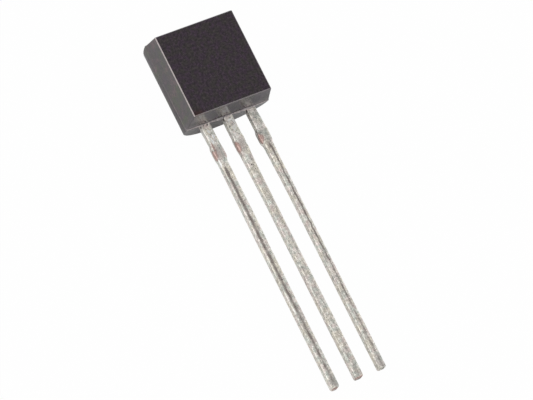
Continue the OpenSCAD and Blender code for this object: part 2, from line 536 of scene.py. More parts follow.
@dataclass(frozen=True)
class EpoxyFinish:
    """Black moulding epoxy: fine filler grain, faint colour mottling, pale where it is worn, with
    painted highlights along edges and a painted reflection at the lower-left corner.
    """

    violet: Colour = (0.0311, 0.0171, 0.0310)
    olive: Colour = (0.0273, 0.0217, 0.0216)
    # pale colour of wear and of painted highlights
    worn: Colour = (0.475, 0.41, 0.40)
    rosy: Colour = (0.0770, 0.0405, 0.0470)
    mossy: Colour = (0.0370, 0.0440, 0.0190)
    brown: Colour = (0.012, 0.004, 0.001)
    ruddy: Colour = (0.0300, 0.0085, 0.0090)
    ior: float = 1.88
    mottle_scale: float = 3.0       # blotches per millimetre
    grain_scale: float = 8.5        # filler grains per millimetre
    grain_depth: float = 0.0008     # millimetres
    grain_shade: Ramp = (SOFT, (0.45, 1.55))        # brightness of the grains
    grain_wear: Ramp = ((0.25, 0.60), (0.60, 1.0))  # how much of the wear the grains take
    roughness: Ramp = (SOFT, (0.14, 0.19))
    dust_scale: float = 1.6         # dusty patches per millimetre
    dust_hue_scale: float = 1.76    # changes of their tint per millimetre
    dust_hue: Span = (0.42, 0.58)
    dust: Ramp = ((0.36, 0.64), (0.06, 1.00))       # share of the dust
    dust_depth: Span = (0.036, 0.12)    # depth below the flat over which the dust sets in
    dust_height: Span = (0.10, 0.45)    # height above the underside over which it sets in
    corner_light: float = 0.13               # painted reflection: how pale the lower-left corner is painted
    lit_corner: Patch = Patch((-2.05, 1.20, 0.0), (0.95, 1.60, 0.42))   # painted reflection on the left wall and underside, at their corner
    smeared: Patch = Patch((-1.94, 0.80, 0.0), (0.46, 0.34, 0.40))  # underside, by the left lead
    tinged: Patch = Patch((-1.92, 0.0, 0.16), (0.62, 0.16, 0.40))   # corner of the flat

    def material(self, resting: Resting) -> Material:
        """Makes the finish.

        Args:
            resting: The device's resting place.

        Returns:
            The material for a part at rest there.
        """
        g = Graph.material("moulded_epoxy", resting)
        blotches = g.reach(g.noise(self.mottle_scale), CRISP)
        tint = g.blend(blotches, self.violet, self.olive)
        tint = g.blend(g.near(self.tinged), tint, self.ruddy)
        grain = g.noise(self.grain_scale, detail=3.0, roughness=0.6)
        base = g.scaled(self._dusty(g, tint), g.reach(grain, *self.grain_shade))
        smear = g.near(self.smeared)
        base = g.blend(smear, base, self.brown)
        clear = g.calc("SUBTRACT", 1.0, smear)
        # Painted reflection: the lower-left corner is lifted pale, except under the smear
        corner = g.product(clear, self.corner_light, g.near(self.lit_corner))
        wear_and_highlights = g.calc("MAXIMUM", g.mask(Mask.WORN_AND_LIT), corner)
        colour = g.blend(g.product(wear_and_highlights, g.reach(grain, *self.grain_wear)), base, self.worn)
        return g.surface(Base_Color=colour, Roughness=g.reach(grain, *self.roughness),
                         IOR=self.ior, Normal=g.bump(grain, self.grain_depth))

    def _dusty(self, g: Graph, tint: Socket) -> Socket:
        """Lays patches of fine dust over the walls; the flat and the underside are free of it.

        Args:
            g: The material's tree.
            tint: Colour of the clean epoxy.

        Returns:
            The dusty colour.
        """
        hue = g.reach(g.noise(self.dust_hue_scale), self.dust_hue)
        patches = g.noise(self.dust_scale, detail=3.0, roughness=0.6)
        thick = g.reach(patches, *self.dust)
        deep = g.reach(g.place("Y"), self.dust_depth)
        high = g.reach(g.place("Z"), self.dust_height)
        return g.blend(g.product(deep, high, thick), tint, g.blend(hue, self.rosy, self.mossy))


@dataclass(frozen=True)
class TinFinish:
    """Dull tin plating over copper alloy: mottled, drawn lines, dark streaks, bare copper at cuts,
    painted highlights and painted shade.
    """

    bright: Colour = (0.97, 0.94, 0.885)
    dull: Colour = (0.60, 0.572, 0.535)
    sage: Colour = (0.935, 1.0, 0.975)
    rose: Colour = (1.045, 0.965, 0.970)
    cream: Colour = (1.03, 1.0, 0.915)
    streak: Colour = (0.31, 0.270, 0.250)
    grime: Colour = (0.42, 0.43, 0.405)
    blush: Colour = (0.74, 0.60, 0.565)
    copper: Colour = (0.46, 0.31, 0.27)
    fresh_copper: Colour = (0.72, 0.53, 0.48)
    rim: Colour = (0.47, 0.36, 0.33)
    pit: Colour = (0.13, 0.115, 0.11)
    # colour of the painted highlights, also used for the light specks
    glint: Colour = (1.13, 1.065, 0.99)
    roughness: Ramp = (FIRM, (0.52, 0.42))
    relief: float = 0.002           # depth of the mottling, in millimetres
    mottle_scale: float = 5.0       # patches per millimetre
    patchiness: float = 0.55        # share of the patches in the mottling, whose rest is lines
    line_scales: Triple = (10.0, 10.0, 4.2)         # drawn lines per millimetre along each axis
    hue_scale: float = 3.2          # tinted patches per millimetre
    warm_scale: float = 2.24        # warm patches per millimetre
    warm: Span = (0.45, 0.65)
    speck_scale: float = 9.5        # specks per millimetre
    light_specks: Span = (0.52, 0.66)
    dark_specks: Ramp = ((0.30, 0.455), (1.0, 0.0))
    # By height: strength of the specks, painted light about the cut dam bar and brightness along
    # the whole lead
    speckled: Ramp = ((-2.6, -1.3), (0.82, 1.0))
    # painted light: brightens the lead above the cut dam bar
    painted_root_light: Ramp = ((-1.4, -0.9), (1.0, 1.13))
    # fades towards the tips, and painted light brightens it towards the case
    faded_and_lit: Ramp = ((-13.0, -1.0), (0.95, 1.04))
    ragged: float = 1.8             # how far the mottling roughens the edges of what is painted
    cut_ragged: float = 0.7         # share of that at the edges of bare copper
    film: Ramp = ((0.35, 0.60), (1.0, 0.55))        # strength of the grey film and painted shade, and of the blush, by the mottling
    # Shares of a mask at which its paint begins and covers
    rim_edge: Span = (0.30, 0.50)
    copper_edge: Span = (0.45, 0.75)
    pit_and_shade_edge: Span = (0.30, 0.70)
    glint_edge: Span = (0.20, 0.80)
    streak_edge: Span = (0.10, 0.95)

    def material(self, resting: Resting) -> Material:
        """Makes the finish.

        Args:
            resting: The device's resting place.

        Returns:
            The material for a part at rest there.
        """
        g = Graph.material("dull_tin", resting)
        patches = g.noise(self.mottle_scale, detail=3.0, roughness=0.65)
        lines = g.noise(1.0, detail=3.0, point=g.stretched(self.line_scales))
        cloud = g.calc("ADD", g.product(patches, self.patchiness),
                       g.product(lines, 1.0 - self.patchiness))
        tin = g.scaled(g.blend(g.reach(cloud, CRISP), self.dull, self.bright), self._tint(g))
        uneven = g.product(g.calc("SUBTRACT", cloud, 0.5), self.ragged)
        colour = self._overlaid(g, self._specked(g, tin), cloud, uneven)
        cut = g.calc("ADD", g.mask(Mask.COPPER), g.product(uneven, self.cut_ragged))
        colour = g.blend(g.reach(cut, self.rim_edge), colour, self.rim)
        copper = g.blend(g.reach(lines, FIRM), self.copper, self.fresh_copper)
        colour = g.blend(g.reach(cut, self.copper_edge), colour, copper)
        pits_and_shade = g.reach(self._painted(g, Mask.PIT_AND_SHADE, uneven), self.pit_and_shade_edge)
        return g.surface(Base_Color=g.blend(pits_and_shade, colour, self.pit), Metallic=1.0,
                         Roughness=g.reach(cloud, *self.roughness),
                         Normal=g.bump(cloud, self.relief))

    def _specked(self, g: Graph, tin: Socket) -> Socket:
        """Strews light and dark specks over the tin, most of them near the case.

        Args:
            g: The material's tree.
            tin: Colour of the clean tin.

        Returns:
            The specked colour.
        """
        specks = g.noise(self.speck_scale, detail=2.0, roughness=0.7)
        share = g.reach(g.place("Z"), *self.speckled)
        light = g.product(g.reach(specks, self.light_specks), share)
        dark = g.product(g.reach(specks, *self.dark_specks), share)
        return g.blend(dark, g.blend(light, tin, self.glint), self.grime)

    def _tint(self, g: Graph) -> Socket:
        """Makes a faint tint that drifts over the tin and fades towards the tips, with painted
        light near the case.

        Args:
            g: The material's tree.

        Returns:
            The colour that the tin is multiplied by.
        """
        drift = g.reach(g.noise(self.hue_scale), CRISP)
        warm = g.reach(g.noise(self.warm_scale), self.warm)
        tint = g.blend(warm, g.blend(drift, self.sage, self.rose), self.cream)
        height = g.place("Z")
        return g.scaled(g.scaled(tint, g.reach(height, *self.painted_root_light)), g.reach(height, *self.faded_and_lit))

    def _overlaid(self, g: Graph, tin: Socket, cloud: Socket, uneven: Socket) -> Socket:
        """Lays the grey film and painted shade, the blush, the painted highlights and the dark
        streaks over the tin.

        Args:
            g: The material's tree.
            tin: Colour of the clean tin.
            cloud: The tin's mottling, from 0 to 1.
            uneven: The mottling around 0, which roughens the edges of what is painted.

        Returns:
            The stained colour.
        """
        patchy = g.reach(cloud, *self.film)
        for mask, colour in ((Mask.GRIME_AND_SHADE, self.grime), (Mask.BLUSH, self.blush)):
            tin = g.blend(g.product(g.mask(mask), patchy), tin, colour)
        for mask, edge, colour in ((Mask.GLINT, self.glint_edge, self.glint),
                                   (Mask.DARK_STREAK, self.streak_edge, self.streak)):
            tin = g.blend(g.reach(self._painted(g, mask, uneven), edge), tin, colour)
        return tin

    @staticmethod
    def _painted(g: Graph, mask: Mask, uneven: Socket) -> Socket:
        """Returns a painted mask whose edges follow the mottling."""
        whole = g.mask(mask)
        return g.calc("ADD", whole, g.product(whole, uneven))


@dataclass(frozen=True)
class SiliconFinish:
    """Polished silicon with a faint grid of its circuit."""

    dark: Colour = (0.10, 0.11, 0.15)
    light: Colour = (0.26, 0.28, 0.34)
    metallic: float = 0.6
    cell: float = 14.0              # cells per millimetre
    cell_edge: Span = (0.2, 0.6)
    roughness: Ramp = (SOFT, (0.10, 0.20))

    def material(self, resting: Resting) -> Material:
        """Makes the finish.

        Args:
            resting: The device's resting place.

        Returns:
            The material for a part at rest there.
        """
        g = Graph.material("polished_silicon", resting)
        cells = g.add("ShaderNodeTexVoronoi", {"Vector": g.point, "Scale": self.cell},
                      distance="CHEBYCHEV").outputs["Distance"]
        colour = g.blend(g.reach(cells, self.cell_edge), self.light, self.dark)
        rough = g.reach(g.noise(self.cell), *self.roughness)
        return g.surface(Base_Color=colour, Metallic=self.metallic, Roughness=rough)


@dataclass(frozen=True)
class BondLayerFinish:
    """Silver-filled bond layer under the chip."""

    light: Colour = (0.62, 0.62, 0.63)
    dark: Colour = (0.42, 0.42, 0.44)
    metallic: float = 0.8
    flake_scale: float = 60.0       # flakes per millimetre
    relief: float = 0.004           # millimetres
    roughness: Ramp = (SOFT, (0.50, 0.35))

    def material(self, resting: Resting) -> Material:
        """Makes the finish.

        Args:
            resting: The device's resting place.

        Returns:
            The material for a part at rest there.
        """
        g = Graph.material("silver_bond_layer", resting)
        flakes = g.noise(self.flake_scale, detail=3.0)
        colour = g.blend(g.reach(flakes, FIRM), self.dark, self.light)
        return g.surface(Base_Color=colour, Metallic=self.metallic,
                         Roughness=g.reach(flakes, *self.roughness),
                         Normal=g.bump(flakes, self.relief))


@dataclass(frozen=True)
class GoldFinish:
    """Drawn gold wire."""

    bright: Colour = (0.95, 0.68, 0.28)
    deep: Colour = (0.80, 0.52, 0.18)
    line_scale: float = 90.0        # drawn lines per millimetre
    roughness: Ramp = (SOFT, (0.18, 0.30))

    def material(self, resting: Resting) -> Material:
        """Makes the finish.

        Args:
            resting: The device's resting place.

        Returns:
            The material for a part at rest there.
        """
        g = Graph.material("drawn_gold", resting)
        lines = g.noise(self.line_scale)
        colour = g.blend(g.reach(lines, SOFT), self.deep, self.bright)
        return g.surface(Base_Color=colour, Metallic=1.0,
                         Roughness=g.reach(lines, *self.roughness))


@dataclass(frozen=True)
class FloorFinish:
    """White table, lifted towards plain white except in the part's deep shadow.

    The shadow is a turned rectangle and a round nook, both in metres on the table.
    """

    white: Colour = (0.60, 0.60, 0.60)
    lift: float = 0.985             # share of plain white that the camera sees
    mirror_lift: float = 0.42       # the same for reflections, outside the deep shadow
    shadow: Span = (0.00045, 0.0077)        # the rectangle's middle
    shadow_half: Span = (0.00320, 0.0029)   # half its sizes along X and Y
    shadow_turn: float = math.radians(-3.0)
    shadow_fade: float = 0.0017     # distance over which it ends
    nook: Span = (0.0018, 0.0041)   # middle of the round part before the case
    nook_edges: Span = (0.0010, 0.0027)     # distances from there between which it ends

    def material(self) -> Material:
        """Makes the finish.

        Returns:
            The material.
        """
        g = Graph(bpy.data.materials.new("white_table"))
        paths = g.add("ShaderNodeLightPath").outputs
        direct = g.calc("MAXIMUM", paths["Is Camera Ray"], paths["Is Transmission Ray"])
        share = g.calc("MAXIMUM", g.product(direct, self.lift),
                       g.product(paths["Is Glossy Ray"], self._mirrored(g)))
        paper = g.add("ShaderNodeBsdfDiffuse", {"Color": self.white}).outputs["BSDF"]
        plain = g.add("ShaderNodeEmission", {"Color": WHITE}).outputs["Emission"]
        mixed = g.add("ShaderNodeMixShader", {0: share, 1: paper, 2: plain}).outputs["Shader"]
        g.add("ShaderNodeOutputMaterial", {"Surface": mixed})
        return g.owner

    def _mirrored(self, g: Graph) -> Socket:
        """Makes the lift for reflections.

        Args:
            g: The table's tree.

        Returns:
            The lift, which is 0 in the deep shadow.
        """
        here = g.add("ShaderNodeTexCoord").outputs["Object"]
        within = g.within(here, (*self.shadow, 0.0), turn=(0.0, 0.0, self.shadow_turn))
        past = g.vector("SUBTRACT", g.vector("ABSOLUTE", within), (*self.shadow_half, 0.0))
        away = g.vector("LENGTH", g.vector("MAXIMUM", past, (0.0, 0.0, 0.0)))
        aside = g.vector("DISTANCE", here, (*self.nook, 0.0))
        lift = (0.0, self.mirror_lift)
        return g.calc("MINIMUM", g.reach(away, (0.0, self.shadow_fade), lift),
                      g.reach(aside, self.nook_edges, lift))


def keep_large_faces_flat(bm: BMesh, ratio: float = 8.0) -> None:
    """Ends the smooth shading where a large face meets the small faces of a rounding.

    Args:
        bm: The piece.
        ratio: How many times larger the one face is than the other.
    """
    for edge in bm.edges:
        areas = sorted(face.calc_area() for face in edge.link_faces)
        if len(areas) == 2 and areas[1] > ratio * areas[0]:
            edge.smooth = False


def placed(name: str, data: bpy.types.ID) -> bpy.types.Object:
    """Returns a new object in the scene, made from its data."""
    made = bpy.data.objects.new(name, data)
    bpy.context.scene.collection.objects.link(made)
    return made


def meshed(bm: BMesh, name: str, material: Material) -> bpy.types.Object:
    """Makes a mesh object in the scene.

    Args:
        bm: The shape. It is freed here.
        name: The object's name.
        material: Its finish.

    Returns:
        The object.
    """
    mesh = bpy.data.meshes.new(name)
    bm.to_mesh(mesh)
    bm.free()
    mesh.materials.append(material)
    return placed(name, mesh)


def finished_piece(bm: BMesh, name: str, resting: Resting, material: Material,
                   nodes: Sequence[str]) -> bpy.types.Object:
    """Makes a modelled piece an object in the frame and says what it stands for.

    Args:
        bm: The piece in device millimetres. It is freed here.
        name: The piece's name.
        resting: The device's resting place.
        material: Its finish.
        nodes: The CAD nodes that it stands for.

    Returns:
        The object, which rides on the part's one body.
    """
    bmesh.ops.remove_doubles(bm, verts=bm.verts, dist=MERGE)
    bmesh.ops.recalc_face_normals(bm, faces=bm.faces)
    for face in bm.faces:
        face.smooth = True
    keep_large_faces_flat(bm)
    for edge in bm.edges:
        if len(edge.link_faces) == 2 and edge.calc_face_angle() > CREASE:
            edge.smooth = False
    bmesh.ops.transform(bm, matrix=resting.matrix, verts=bm.verts)
    piece = meshed(bm, name, material)
    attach(piece, BODY)
    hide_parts(*nodes)
    log.info("%s: %d faces, stands for %s", name, len(piece.data.polygons),
             ", ".join(nodes))
    return piece


@dataclass(frozen=True)
class CaseWearAndHighlights:
    """How pale the edges of the case are, from 0 to 1, from wear and painted highlights."""

    # The flash: pale broken epoxy, and a painted highlight along its lip
    flash: float = 0.80
    flash_rise: Rise = Rise(0.2, 1.2, 0.15)         # by place across the case
    flash_dashes: Ripple = Ripple(1.3, 0.11, 5.3)
    flash_range: Span = (0.20, 1.0)
    # Left of corner_end, a painted highlight along the step's corner
    corner_end: float = -1.55       # place across the case up to which its left corner reaches
    corner: float = 0.92
    corner_dashes: Ripple = Ripple(0.12, 0.11, 5.3)
    line: float = 0.04
    line_rises: tuple[Rise, ...] = (Rise(2.6, 1.4, 0.09), Rise(0.45, 0.0, 0.50))   # by height
    foot_share: float = 0.15        # wear and painted light that lifts the dark ledge just in front of the flash, as a share of the flash's
    left_edge_highlight: float = 1.0          # painted highlight along the flat's edge on the left
    low_edge_highlight: float = 0.20          # painted highlight on the lower half of its other edges
    # The underside in front of the flash, by place across it
    scuffs: tuple[Span, ...] = (
        (2.20, 0.26), (1.45, 0.22), (0.90, 0.08), (0.70, 0.0), (-0.10, 0.0),
        (-0.35, 0.08), (-0.60, 0.0), (-1.00, 0.0), (-1.45, 0.10), (-1.80, 0.05),
        (-2.20, 0.02),
    )

    def on_flash(self, x: float) -> float:
        """Tells how pale the flash is, from wear and painted highlights.

        Args:
            x: The place across the case.

        Returns:
            Its wear and painted highlight there.
        """
        place = Vector((x, 0.0, 0.0))
        if x < self.corner_end:
            return self.corner + self.corner_dashes.at(place)
        pale = self.flash + self.flash_rise.at(x) + self.flash_dashes.at(place)
        return clamp(pale, *self.flash_range)

    def on_line(self, z: float) -> float:
        """Returns how pale the parting line is at a height on the left side."""
        return sum((rise.at(z) for rise in self.line_rises), self.line)


@dataclass
class MouldedCase:
    """The epoxy case: a drafted flat half and a drafted round half, with flash between them."""

    width: float
    height: float
    depth: float
    parting: float                  # depth of the parting plane below the flat
    flat_width: float = 4.22
    flat_height: float = 4.36
    flat_edge: float = 0.05         # radius along the edges of the flat
    corner: float = 0.05            # radius of the edges between walls and ends
    top_draft: float = 5.5          # lean of the round half's far end, in degrees
    lead_draft: float = 7.8         # lean of its end with the leads, in degrees
    end_step: float = 0.025         # step down to the flat half at the two ends
    side_step: float = 0.008        # the same at the two sides
    flash_depth: float = 0.040      # thickness of the flash
    foot_gap: float = 0.008         # distance of a second ring in front of the flash
    line_depth: float = 0.07        # how far behind the parting plane its line shows on the sides
    line_band: float = 0.014        # how far from that line its wear reaches
    wear_reach: float = 0.42        # how far in front of the parting plane the underside is worn
    end_band: float = 0.0375        # height up to which the underside's wear reaches
    edge_band: float = 0.04         # breadth of the band along the flat's left and lower edges that is painted with a highlight
    wear_and_highlights: CaseWearAndHighlights = CaseWearAndHighlights()
    arc_steps: int = 72
    edge_steps: int = 5
    flash_cuts: int = 170
    # Rings of the flash: distance inside the case's outline, distance in front of the parting
    # plane and share of the flash's reach
    flash_rings: tuple[Triple, ...] = ((0.002, 0.002, 1.0), (0.004, 0.012, 0.9))
    flash_ripples: tuple[Ripple, ...] = (Ripple(0.55, 0.16, 3.1), Ripple(0.45, 0.055, 8.7))
    least_flash: float = 0.15       # share of its reach that the flash has everywhere
    # Reach of the flash below the case, by place across it
    flash: tuple[Span, ...] = (
        (2.15, 0.004), (1.75, 0.020), (1.52, 0.030), (1.46, 0.030), (1.04, 0.032),
        (0.96, 0.060), (0.75, 0.050), (0.35, 0.045), (0.24, 0.040), (-0.25, 0.040),
        (-0.32, 0.080), (-0.60, 0.060), (-0.80, 0.060), (-1.00, 0.050), (-1.05, 0.024),
        (-1.48, 0.020), (-1.57, 0.055), (-1.68, 0.022), (-2.15, 0.006),
    )

    @classmethod
    def from_frame(cls, resting: Resting) -> "MouldedCase":
        """Returns a case with the sizes of the CAD nodes."""
        low, high = resting.device_box("case")
        lead_low, _ = resting.device_box("lead_centre")
        return cls(width=high.x - low.x - INSIDE, height=high.z - low.z - INSIDE,
                   depth=high.y - low.y - INSIDE, parting=lead_low.y)

    def build(self) -> BMesh:
        """Builds the whole case.

        Returns:
            The case in device millimetres.
        """
        bm = bmesh.new()
        self._round_half(bm)
        rim = self._open_front(bm)
        self._flat_half(bm, rim)
        self._paint_wear_and_highlights(bm)
        return bm

    def dress(self, bm: BMesh, resting: Resting) -> bpy.types.Object:
        """Returns the finished case."""
        return finished_piece(bm, "moulded_case", resting, EpoxyFinish().material(resting),
                              ["case"])

    @property
    def _line_y(self) -> float:
        """Depth at which the parting line shows on the sides."""
        return self.parting + self.line_depth

    def _round_half(self, bm: BMesh) -> None:
        """Extrudes the D outline behind the parting plane, leans its ends and rounds their rims.

        Args:
            bm: The case's mesh, still empty.
        """
        radius = self.width / 2
        centre = Vector((0, self.depth - radius, 0))
        first = bmesh.ops.create_vert(bm, co=centre + Vector((radius, 0, 0)))["vert"][0]
        bmesh.ops.spin(bm, geom=[first], cent=centre, axis=(0, 0, 1), angle=math.pi,
                       steps=self.arc_steps)
        ends = [v for v in bm.verts if len(v.link_edges) == 1]
        for end in ends:
            line = bmesh.ops.create_vert(bm, co=(end.co.x, self._line_y, 0))["vert"][0]
            front = bmesh.ops.create_vert(bm, co=(end.co.x, self.parting, 0))["vert"][0]
            bm.edges.new((end, line))
            bm.edges.new((line, front))
        bm.edges.new([v for v in bm.verts if len(v.link_edges) == 1])
        floor = bmesh.ops.contextual_create(bm, geom=bm.edges[:])["faces"]
        roof = bmesh.ops.extrude_face_region(bm, geom=floor)["geom"]
        roof_verts = [g for g in roof if isinstance(g, BMVert)]
        bmesh.ops.translate(bm, verts=roof_verts, vec=(0, 0, self.height))
        for vert in bm.verts:
            lean = -self.top_draft if vert.co.z > self.height / 2 else self.lead_draft
            vert.co.z += (vert.co.y - self.parting) * math.tan(math.radians(lean))
        rims = [e for e in bm.edges if self._is_rim(e)]
        bmesh.ops.bevel(bm, geom=rims, offset=self.corner, offset_type="OFFSET",
                        segments=self.edge_steps, profile=0.5, affect="EDGES", material=-1)

    def _is_rim(self, edge: BMEdge) -> bool:
        """Tells whether an edge joins an end of the round half to its curved wall."""
        a, b = (v.co for v in edge.verts)
        upright = abs(a.z - b.z) > self.height / 2
        front = max(a.y, b.y) < self.parting + MERGE
        return not upright and not front

    def _open_front(self, bm: BMesh) -> list[BMEdge]:
        """Opens the round half at the parting plane.

        Args:
            bm: The round half.

        Returns:
            The loop of edges there.
        """
        bm.normal_update()
        front = [f for f in bm.faces
                 if all(abs(v.co.y - self.parting) < MERGE for v in f.verts)]
        bmesh.ops.delete(bm, geom=front, context="FACES_ONLY")
        long = [e for e in bm.edges if e.calc_length() > self.width / 2
                and all(v.co.y < self._line_y + MERGE for v in e.verts)]
        bmesh.ops.subdivide_edges(bm, edges=long, cuts=self.flash_cuts)
        bm.verts.index_update()
        return [e for e in bm.edges if e.is_boundary]

    def _flat_half(self, bm: BMesh, rim: list[BMEdge]) -> None:
        """Grows the flash, the step, the drafted walls and the rounded flat from the rim.

        Args:
            bm: The round half, open at the parting plane.
            rim: The loop of edges there.
        """
        half = self.width / 2
        whole = Outline(-half, half, 0.0, self.height, self.corner)
        loft = Loft(bm, rim, whole, Stack.ALONG_Y)
        for inside, ahead, share in self.flash_rings:
            loft.ring(whole.shrunk(inside), self.parting - ahead, self._flash_reach(share))
        foot = Outline(self.side_step - half, half - self.side_step, self.end_step,
                       self.height - self.end_step, self.corner)
        loft.ring(foot, self.parting - self.flash_depth)
        loft.ring(foot, self.parting - (self.flash_depth + self.foot_gap))
        flat_half_w = self.flat_width / 2
        flat_low = (self.height - self.flat_height) / 2
        flat = Outline(-flat_half_w, flat_half_w, flat_low, self.height - flat_low, self.corner)
        for level in (self.parting - self.wear_reach, self.flat_edge):
            loft.ring(foot.mixed(flat, 1.0 - level / self.parting), level)
        for number in range(1, self.edge_steps + 1):
            angle = math.pi / 2 * number / self.edge_steps
            shrink = self.flat_edge * (1.0 - math.cos(angle))
            level = self.flat_edge * (1.0 - math.sin(angle))
            loft.ring(flat.shrunk(shrink), level)
        loft.close()

    def _flash_reach(self, share: float) -> Callable[[float, float], Vector]:
        """Makes the shift of the rim's points that gives the flash.

        Args:
            share: Share of the flash's reach.

        Returns:
            The shift of a point from its two places on the rim.
        """
        def shift(x: float, z: float) -> Vector:
            """Pushes a point of the underside's rim down, unevenly.

            Args:
                x: Its place across the case.
                z: Its height on the rim.

            Returns:
                The shift.
            """
            if z > MERGE:
                return Vector((0, 0, 0))
            reach, = between(self.flash, x)
            ragged = sum((ripple.at(Vector((x, 0, 0))) for ripple in self.flash_ripples), 1.0)
            return Vector((0, 0, -share * reach * max(self.least_flash, ragged)))

        return shift

    def _paint_wear_and_highlights(self, bm: BMesh) -> None:
        """Marks how pale each point is, from wear and painted highlights."""
        worn = bm.verts.layers.float.new(Mask.WORN_AND_LIT.value)
        for vert in bm.verts:
            vert[worn] = self._worn_and_lit(*vert.co)

    def _worn_and_lit(self, x: float, y: float, z: float) -> float:
        """Tells how pale a point is: worn on the flash and the parting line, painted with
        highlights along the flat's edges.

        Args:
            x: The point's place across the flat.
            y: Its depth below the flat.
            z: Its height.

        Returns:
            Its wear and painted highlight, from 0 to 1.
        """
        foot = self.parting - self.flash_depth
        # painted highlights along the flat's left edge and the lower half of its other edges
        if MERGE < y < self.edge_band:
            if x < -self.flat_width / 2 + self.edge_band:
                return self.wear_and_highlights.left_edge_highlight
            return self.wear_and_highlights.low_edge_highlight if z < self.height / 2 else 0.0
        if abs(y - self._line_y) < self.line_band and x < 0.0:
            return self.wear_and_highlights.on_line(z)
        if z > self.end_band:
            return 0.0
        # Flash and the ring before it: wear, painted highlights and painted light over the dark
        # ledge
        if foot + MERGE < y < self.parting - MERGE:
            return self.wear_and_highlights.on_flash(x)
        if abs(y - foot) < MERGE:
            return self.wear_and_highlights.foot_share * self.wear_and_highlights.on_flash(x)
        if abs(y - foot + self.foot_gap) < MERGE:
            return between(self.wear_and_highlights.scuffs, x)[0]
        return 0.0


@dataclass(frozen=True)
class Mark:
    """A spot on a lead, placed on its surface unrolled from the middle of the front face."""

    mask: Mask
    height: float                   # its middle along the lead
    across: float                   # its middle across the lead, beyond the edge on the side face
    long: float                     # half its length along the lead
    wide: float                     # half its width
    strength: float = 1.0

    def share(self, across: float, height: float) -> float:
        """Returns how much of the mark shows at a place."""
        away = ((across - self.across) / self.wide) ** 2
        away += ((height - self.height) / self.long) ** 2
        return self.strength * math.exp(-away * away)


